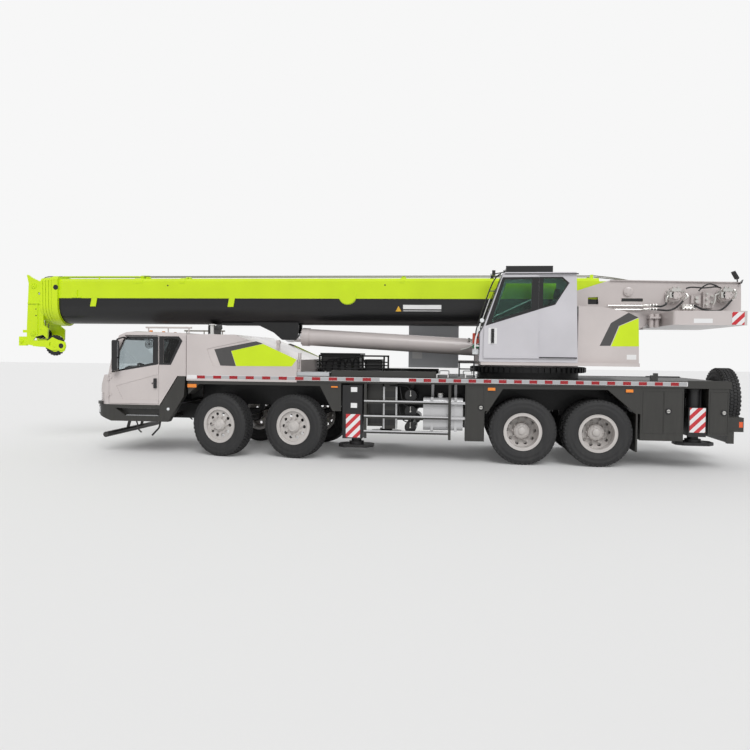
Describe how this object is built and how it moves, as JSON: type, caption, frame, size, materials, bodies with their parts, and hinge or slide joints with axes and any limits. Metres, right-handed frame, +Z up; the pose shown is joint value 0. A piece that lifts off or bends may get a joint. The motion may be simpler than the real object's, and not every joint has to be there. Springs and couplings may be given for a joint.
{
  "type": "four-axle telescopic truck crane",
  "caption": "Truck crane with a telescopic boom laid over the driver cab, turning upper works with its own cab, folding-in outriggers and steered front axles.",
  "frame": {"origin": "on the ground, in the middle of the crane's length and width in travel order", "axes": "+X forwards, towards the boom tip; +Y to the crane's left; +Z up"},
  "size_m": [14.718, 3.09, 3.665],
  "materials": {
    "boom_green": "gloss lime green paint, black lower half",
    "cab_grey": "gloss light grey paint",
    "carrier_grey": "gloss warm light grey paint",
    "chassis_black": "satin black chassis paint",
    "cylinder_grey": "gloss light grey paint",
    "dark_grey_panel": "satin dark grey paint",
    "engine_iron": "plain cast block",
    "rim": "warm light grey paint",
    "rod_chrome": "hard chrome",
    "tank_silver": "brushed aluminium",
    "trim_black": "matt dark trim",
    "tyre": "worn black rubber",
    "upper_grey": "gloss warm light grey paint"
  },
  "bodies": {
    "carrier": {"carrier_frame": "chassis_black", "deck": "dark_grey_panel", "side_boxes": "dark_grey_panel", "driver_cab": "carrier_grey", "driver_cab_interior": "trim_black", "front_bumper": "dark_grey_panel", "engine_cover": "carrier_grey", "engine": "engine_iron", "tanks": "tank_silver", "axles": "chassis_black", "spare_tyre": "tyre"},
    "driver_door_left": {"driver_door_left": "carrier_grey"},
    "driver_door_right": {"driver_door_right": "carrier_grey"},
    "steering_one_left": {"knuckle_one_left": "chassis_black"},
    "wheel_one_left": {"tyre_one_left": "tyre", "rim_one_left": "rim"},
    "steering_one_right": {"knuckle_one_right": "chassis_black"},
    "wheel_one_right": {"tyre_one_right": "tyre", "rim_one_right": "rim"},
    "steering_two_left": {"knuckle_two_left": "chassis_black"},
    "wheel_two_left": {"tyre_two_left": "tyre", "rim_two_left": "rim"},
    "steering_two_right": {"knuckle_two_right": "chassis_black"},
    "wheel_two_right": {"tyre_two_right": "tyre", "rim_two_right": "rim"},
    "wheel_three_left": {"tyre_three_left": "tyre", "rim_three_left": "rim"},
    "wheel_three_right": {"tyre_three_right": "tyre", "rim_three_right": "rim"},
    "wheel_four_left": {"tyre_four_left": "tyre", "rim_four_left": "rim"},
    "wheel_four_right": {"tyre_four_right": "tyre", "rim_four_right": "rim"},
    "outer_beam_front_left": {"outrigger_outer_front_left": "chassis_black"},
    "inner_beam_front_left": {"outrigger_inner_front_left": "dark_grey_panel"},
    "jack_leg_front_left": {"jack_front_left": "chassis_black"},
    "outer_beam_front_right": {"outrigger_outer_front_right": "chassis_black"},
    "inner_beam_front_right": {"outrigger_inner_front_right": "dark_grey_panel"},
    "jack_leg_front_right": {"jack_front_right": "chassis_black"},
    "outer_beam_rear_left": {"outrigger_outer_rear_left": "chassis_black"},
    "inner_beam_rear_left": {"outrigger_inner_rear_left": "dark_grey_panel"},
    "jack_leg_rear_left": {"jack_rear_left": "chassis_black"},
    "outer_beam_rear_right": {"outrigger_outer_rear_right": "chassis_black"},
    "inner_beam_rear_right": {"outrigger_inner_rear_right": "dark_grey_panel"},
    "jack_leg_rear_right": {"jack_rear_right": "chassis_black"},
    "superstructure": {"turntable": "upper_grey", "counterweight": "upper_grey", "winches": "chassis_black", "crane_cab": "cab_grey", "crane_cab_interior": "trim_black", "side_housings": "upper_grey"},
    "crane_cab_door": {"crane_cab_door": "cab_grey"},
    "boom_base": {"boom_base": "boom_green"},
    "lift_barrel": {"lift_cylinder_barrel": "cylinder_grey"},
    "lift_rod": {"lift_cylinder_rod": "rod_chrome"},
    "boom_section_2": {"boom_section_2": "boom_green"},
    "boom_section_3": {"boom_section_3": "boom_green"},
    "boom_section_4": {"boom_section_4": "boom_green"},
    "boom_section_5": {"boom_section_5": "boom_green"}
  },
  "joints": [
    {"name": "driver_door_left_hinge", "type": "hinge", "parent": "carrier", "child": "driver_door_left", "pos_m": [4.772, 1.378, 1.6], "axis": [0, 0, -1], "range_deg": [0, 70]},
    {"name": "driver_door_right_hinge", "type": "hinge", "parent": "carrier", "child": "driver_door_right", "pos_m": [4.772, -1.378, 1.6], "axis": [0, 0, 1], "range_deg": [0, 70]},
    {"name": "steer_one_left", "type": "hinge", "parent": "carrier", "child": "steering_one_left", "pos_m": [2.46, 1.04, 0.613], "axis": [0, 0, 1], "range_deg": [-20, 50]},
    {"name": "wheel_one_left_roll", "type": "hinge", "parent": "steering_one_left", "child": "wheel_one_left", "pos_m": [2.50686, 1.20341, 0.613], "axis": [0.2756, 0.9613, 0], "continuous": true},
    {"name": "steer_one_right", "type": "hinge", "parent": "carrier", "child": "steering_one_right", "pos_m": [2.46, -1.04, 0.613], "axis": [0, 0, 1], "range_deg": [-20, 50]},
    {"name": "wheel_one_right_roll", "type": "hinge", "parent": "steering_one_right", "child": "wheel_one_right", "pos_m": [2.41314, -1.20341, 0.613], "axis": [0.2756, 0.9613, 0], "continuous": true},
    {"name": "steer_two_left", "type": "hinge", "parent": "carrier", "child": "steering_two_left", "pos_m": [1.01, 1.04, 0.613], "axis": [0, 0, 1], "range_deg": [-16.5, 41]},
    {"name": "wheel_two_left_roll", "type": "hinge", "parent": "steering_two_left", "child": "wheel_two_left", "pos_m": [1.04824, 1.20564, 0.613], "axis": [0.225, 0.9744, 0], "continuous": true},
    {"name": "steer_two_right", "type": "hinge", "parent": "carrier", "child": "steering_two_right", "pos_m": [1.01, -1.04, 0.613], "axis": [0, 0, 1], "range_deg": [-16.5, 41]},
    {"name": "wheel_two_right_roll", "type": "hinge", "parent": "steering_two_right", "child": "wheel_two_right", "pos_m": [0.97176, -1.20564, 0.613], "axis": [0.225, 0.9744, 0], "continuous": true},
    {"name": "wheel_three_left_roll", "type": "hinge", "parent": "carrier", "child": "wheel_three_left", "pos_m": [-3.24, 1.045, 0.613], "axis": [0, 1, 0], "continuous": true},
    {"name": "wheel_three_right_roll", "type": "hinge", "parent": "carrier", "child": "wheel_three_right", "pos_m": [-3.24, -1.045, 0.613], "axis": [0, 1, 0], "continuous": true},
    {"name": "wheel_four_left_roll", "type": "hinge", "parent": "carrier", "child": "wheel_four_left", "pos_m": [-4.59, 1.045, 0.613], "axis": [0, 1, 0], "continuous": true},
    {"name": "wheel_four_right_roll", "type": "hinge", "parent": "carrier", "child": "wheel_four_right", "pos_m": [-4.59, -1.045, 0.613], "axis": [0, 1, 0], "continuous": true},
    {"name": "outer_beam_front_left_slide", "type": "slide", "parent": "carrier", "child": "outer_beam_front_left", "axis": [0, 1, 0], "range_m": [0, 1.3]},
    {"name": "inner_beam_front_left_slide", "type": "slide", "parent": "outer_beam_front_left", "child": "inner_beam_front_left", "axis": [0, 1, 0], "range_m": [0, 1.3]},
    {"name": "jack_front_left_slide", "type": "slide", "parent": "inner_beam_front_left", "child": "jack_leg_front_left", "axis": [0, 0, -1], "range_m": [0, 0.65]},
    {"name": "outer_beam_front_right_slide", "type": "slide", "parent": "carrier", "child": "outer_beam_front_right", "axis": [0, -1, 0], "range_m": [0, 1.3]},
    {"name": "inner_beam_front_right_slide", "type": "slide", "parent": "outer_beam_front_right", "child": "inner_beam_front_right", "axis": [0, -1, 0], "range_m": [0, 1.3]},
    {"name": "jack_front_right_slide", "type": "slide", "parent": "inner_beam_front_right", "child": "jack_leg_front_right", "axis": [0, 0, -1], "range_m": [0, 0.65]},
    {"name": "outer_beam_rear_left_slide", "type": "slide", "parent": "carrier", "child": "outer_beam_rear_left", "axis": [0, 1, 0], "range_m": [0, 1.3]},
    {"name": "inner_beam_rear_left_slide", "type": "slide", "parent": "outer_beam_rear_left", "child": "inner_beam_rear_left", "axis": [0, 1, 0], "range_m": [0, 1.3]},
    {"name": "jack_rear_left_slide", "type": "slide", "parent": "inner_beam_rear_left", "child": "jack_leg_rear_left", "axis": [0, 0, -1], "range_m": [0, 0.65]},
    {"name": "outer_beam_rear_right_slide", "type": "slide", "parent": "carrier", "child": "outer_beam_rear_right", "axis": [0, -1, 0], "range_m": [0, 1.3]},
    {"name": "inner_beam_rear_right_slide", "type": "slide", "parent": "outer_beam_rear_right", "child": "inner_beam_rear_right", "axis": [0, -1, 0], "range_m": [0, 1.3]},
    {"name": "jack_rear_right_slide", "type": "slide", "parent": "inner_beam_rear_right", "child": "jack_leg_rear_right", "axis": [0, 0, -1], "range_m": [0, 0.65]},
    {"name": "slew", "type": "hinge", "parent": "carrier", "child": "superstructure", "pos_m": [-3.44, 0, 1.8], "axis": [0, 0, 1], "continuous": true},
    {"name": "crane_cab_door_slide", "type": "slide", "parent": "superstructure", "child": "crane_cab_door", "axis": [-1, 0, 0], "range_m": [0, 0.82]},
    {"name": "boom_luff", "type": "hinge", "parent": "superstructure", "child": "boom_base", "pos_m": [-5.281, 0, 3.276], "axis": [0, -1, 0], "range_deg": [0, 80]},
    {"name": "lift_barrel_swing", "type": "hinge", "parent": "superstructure", "child": "lift_barrel", "pos_m": [-3.3, 0, 2.13], "axis": [0, -1, 0], "range_deg": [0, 88]},
    {"name": "lift_rod_slide", "type": "slide", "parent": "lift_barrel", "child": "lift_rod", "axis": [0.9987, 0, 0.0515], "range_m": [0, 2.9]},
    {"name": "telescope_2", "type": "slide", "parent": "boom_base", "child": "boom_section_2", "axis": [1, 0, 0], "range_m": [0, 9]},
    {"name": "telescope_3", "type": "slide", "parent": "boom_section_2", "child": "boom_section_3", "axis": [1, 0, 0], "range_m": [0, 9]},
    {"name": "telescope_4", "type": "slide", "parent": "boom_section_3", "child": "boom_section_4", "axis": [1, 0, 0], "range_m": [0, 9]},
    {"name": "telescope_5", "type": "slide", "parent": "boom_section_4", "child": "boom_section_5", "axis": [1, 0, 0], "range_m": [0, 9]}
  ],
  "couplings": [
    {"joint": "steer_one_right", "follows": "steer_one_left", "ratio": 1},
    {"joint": "steer_two_left", "follows": "steer_one_left", "ratio": 0.8125},
    {"joint": "steer_two_right", "follows": "steer_one_left", "ratio": 0.8125},
    {"joint": "inner_beam_front_left_slide", "follows": "outer_beam_front_left_slide", "ratio": 1},
    {"joint": "inner_beam_front_right_slide", "follows": "outer_beam_front_right_slide", "ratio": 1},
    {"joint": "inner_beam_rear_left_slide", "follows": "outer_beam_rear_left_slide", "ratio": 1},
    {"joint": "inner_beam_rear_right_slide", "follows": "outer_beam_rear_right_slide", "ratio": 1},
    {"joint": "lift_barrel_swing", "follows": "boom_luff", "ratio": 1.081},
    {"joint": "lift_rod_slide", "follows": "boom_luff", "m_per_rad": 2.05},
    {"joint": "telescope_3", "follows": "telescope_2", "ratio": 1},
    {"joint": "telescope_4", "follows": "telescope_2", "ratio": 1},
    {"joint": "telescope_5", "follows": "telescope_2", "ratio": 1}
  ]
}
